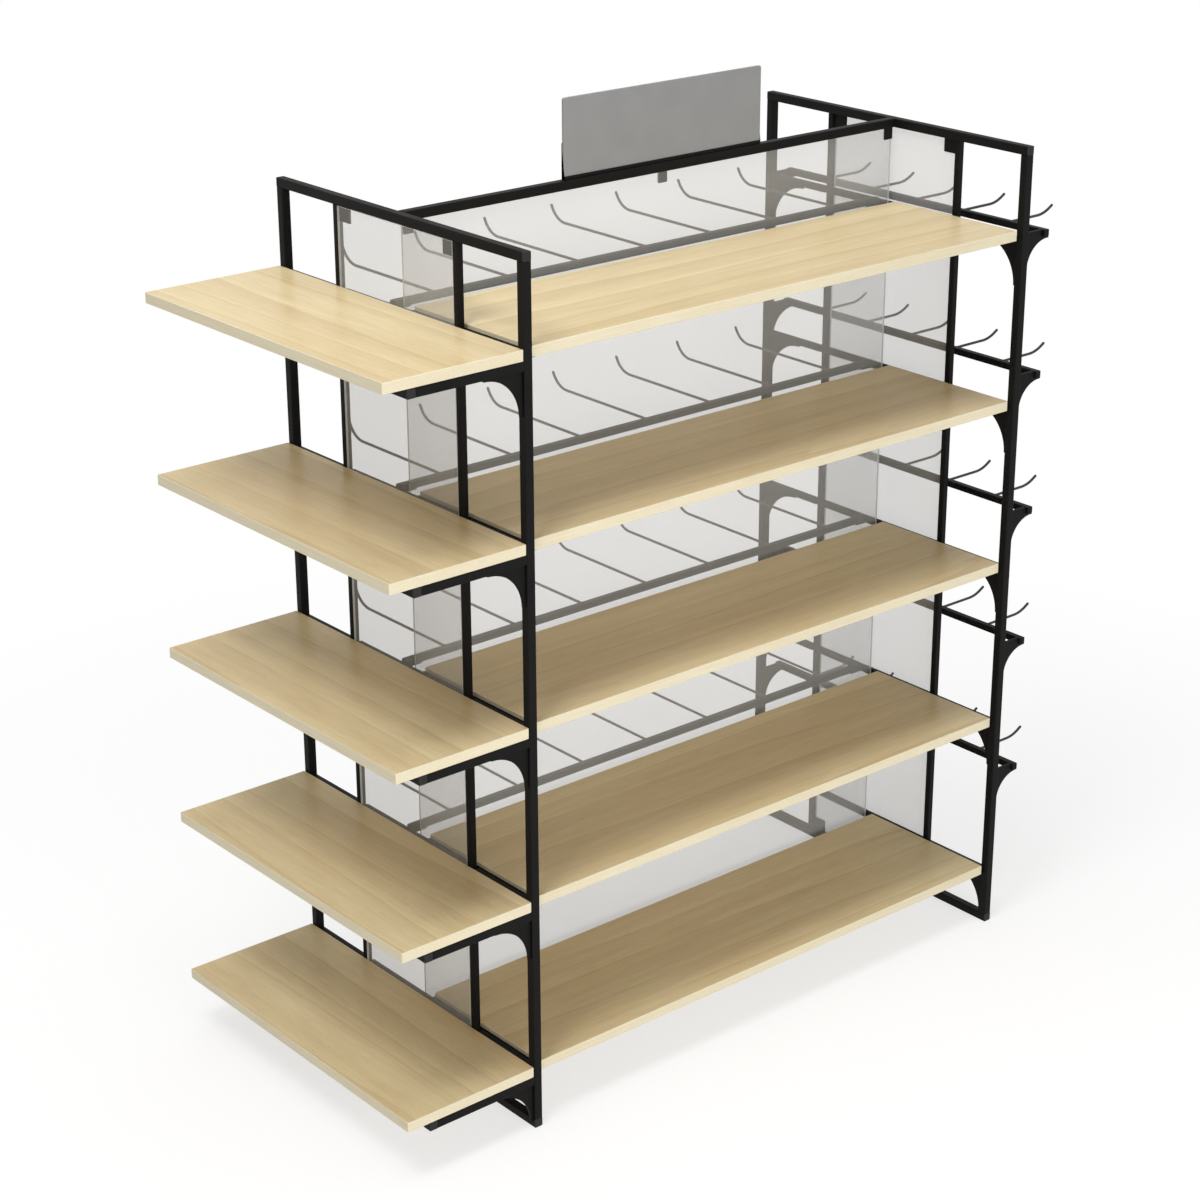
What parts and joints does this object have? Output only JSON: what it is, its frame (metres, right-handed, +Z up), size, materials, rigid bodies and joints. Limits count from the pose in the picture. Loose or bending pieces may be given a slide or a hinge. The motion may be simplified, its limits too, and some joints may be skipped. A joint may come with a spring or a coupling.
{
  "type": "gondola shelving",
  "caption": "Free-standing shop shelving of black square tube with pale wood boards in front and at one end, wire hook bars at the back and other end, and frosted sheets.",
  "frame": {"origin": "on the floor, at the middle of the two end frames, on the centre bottom rail's underside", "axes": "+Z up, +X along the length towards the hook end, -Y towards the front boards"},
  "size_m": [1.5508, 0.65, 1.634],
  "materials": {
    "black_steel": "matt black powder coat",
    "black_plastic": "moulded black caps",
    "dark_wire": "satin dark coat on wire",
    "pale_wood": "pale maple faced board, satin",
    "frosted_sheet": "frosted clear plastic sheet",
    "grey_board": "plain grey board"
  },
  "bodies": {
    "frame": {"left_front_upright": "black_steel", "left_back_upright": "black_steel", "right_front_upright": "black_steel", "right_back_upright": "black_steel", "left_inner_uprights": "black_steel", "right_inner_uprights": "black_steel", "left_top_rail": "black_steel", "right_top_rail": "black_steel", "left_bottom_rail": "black_steel", "right_bottom_rail": "black_steel", "centre_top_rail": "black_steel", "centre_bottom_rail": "black_steel", "frame_rail_caps": "black_plastic", "arm_rail_caps": "black_plastic", "crossbars": "black_steel", "frame_gussets": "black_steel", "shelf_ledges": "black_steel", "end_arms": "black_steel", "end_arm_rails": "black_steel", "end_arm_gussets": "black_steel", "hook_brackets": "black_steel", "back_bar_saddles": "black_steel", "centre_panel": "frosted_sheet", "left_end_panel": "frosted_sheet", "right_end_panel": "frosted_sheet", "centre_panel_clips": "black_steel", "end_panel_tabs": "black_steel", "header_holder": "black_steel"},
    "front_shelf_1": {"front_shelf_1": "pale_wood"},
    "front_shelf_2": {"front_shelf_2": "pale_wood"},
    "front_shelf_3": {"front_shelf_3": "pale_wood"},
    "front_shelf_4": {"front_shelf_4": "pale_wood"},
    "front_shelf_5": {"front_shelf_5": "pale_wood"},
    "end_shelf_1": {"end_shelf_1": "pale_wood"},
    "end_shelf_2": {"end_shelf_2": "pale_wood"},
    "end_shelf_3": {"end_shelf_3": "pale_wood"},
    "end_shelf_4": {"end_shelf_4": "pale_wood"},
    "end_shelf_5": {"end_shelf_5": "pale_wood"},
    "back_bar_1": {"back_hook_bar_1": "black_steel", "back_hooks_1": "dark_wire"},
    "back_bar_2": {"back_hook_bar_2": "black_steel", "back_hooks_2": "dark_wire"},
    "back_bar_3": {"back_hook_bar_3": "black_steel", "back_hooks_3": "dark_wire"},
    "back_bar_4": {"back_hook_bar_4": "black_steel", "back_hooks_4": "dark_wire"},
    "end_bar_1": {"end_hook_bar_1": "black_steel", "end_hooks_1": "dark_wire"},
    "end_bar_2": {"end_hook_bar_2": "black_steel", "end_hooks_2": "dark_wire"},
    "end_bar_3": {"end_hook_bar_3": "black_steel", "end_hooks_3": "dark_wire"},
    "end_bar_4": {"end_hook_bar_4": "black_steel", "end_hooks_4": "dark_wire"},
    "end_bar_5": {"end_hook_bar_5": "black_steel", "end_hooks_5": "dark_wire"},
    "header_board": {"header_board": "grey_board"}
  },
  "joints": [
    {"name": "front_shelf_1_lift", "type": "slide", "parent": "frame", "child": "front_shelf_1", "axis": [0, 0, 1], "range_m": [0, 0.06]},
    {"name": "front_shelf_2_lift", "type": "slide", "parent": "frame", "child": "front_shelf_2", "axis": [0, 0, 1], "range_m": [0, 0.06]},
    {"name": "front_shelf_3_lift", "type": "slide", "parent": "frame", "child": "front_shelf_3", "axis": [0, 0, 1], "range_m": [0, 0.06]},
    {"name": "front_shelf_4_lift", "type": "slide", "parent": "frame", "child": "front_shelf_4", "axis": [0, 0, 1], "range_m": [0, 0.06]},
    {"name": "front_shelf_5_lift", "type": "slide", "parent": "frame", "child": "front_shelf_5", "axis": [0, 0, 1], "range_m": [0, 0.06]},
    {"name": "end_shelf_1_lift", "type": "slide", "parent": "frame", "child": "end_shelf_1", "axis": [0, 0, 1], "range_m": [0, 0.06]},
    {"name": "end_shelf_2_lift", "type": "slide", "parent": "frame", "child": "end_shelf_2", "axis": [0, 0, 1], "range_m": [0, 0.06]},
    {"name": "end_shelf_3_lift", "type": "slide", "parent": "frame", "child": "end_shelf_3", "axis": [0, 0, 1], "range_m": [0, 0.06]},
    {"name": "end_shelf_4_lift", "type": "slide", "parent": "frame", "child": "end_shelf_4", "axis": [0, 0, 1], "range_m": [0, 0.06]},
    {"name": "end_shelf_5_lift", "type": "slide", "parent": "frame", "child": "end_shelf_5", "axis": [0, 0, 1], "range_m": [0, 0.06]},
    {"name": "back_bar_1_lift", "type": "slide", "parent": "frame", "child": "back_bar_1", "axis": [0, 0, 1], "range_m": [0, 0.05]},
    {"name": "back_bar_2_lift", "type": "slide", "parent": "frame", "child": "back_bar_2", "axis": [0, 0, 1], "range_m": [0, 0.05]},
    {"name": "back_bar_3_lift", "type": "slide", "parent": "frame", "child": "back_bar_3", "axis": [0, 0, 1], "range_m": [0, 0.05]},
    {"name": "back_bar_4_lift", "type": "slide", "parent": "frame", "child": "back_bar_4", "axis": [0, 0, 1], "range_m": [0, 0.05]},
    {"name": "end_bar_1_lift", "type": "slide", "parent": "frame", "child": "end_bar_1", "axis": [0, 0, 1], "range_m": [0, 0.05]},
    {"name": "end_bar_2_lift", "type": "slide", "parent": "frame", "child": "end_bar_2", "axis": [0, 0, 1], "range_m": [0, 0.05]},
    {"name": "end_bar_3_lift", "type": "slide", "parent": "frame", "child": "end_bar_3", "axis": [0, 0, 1], "range_m": [0, 0.05]},
    {"name": "end_bar_4_lift", "type": "slide", "parent": "frame", "child": "end_bar_4", "axis": [0, 0, 1], "range_m": [0, 0.05]},
    {"name": "end_bar_5_lift", "type": "slide", "parent": "frame", "child": "end_bar_5", "axis": [0, 0, 1], "range_m": [0, 0.05]},
    {"name": "header_lift", "type": "slide", "parent": "frame", "child": "header_board", "axis": [0, 0, 1], "range_m": [0, 0.07]}
  ]
}
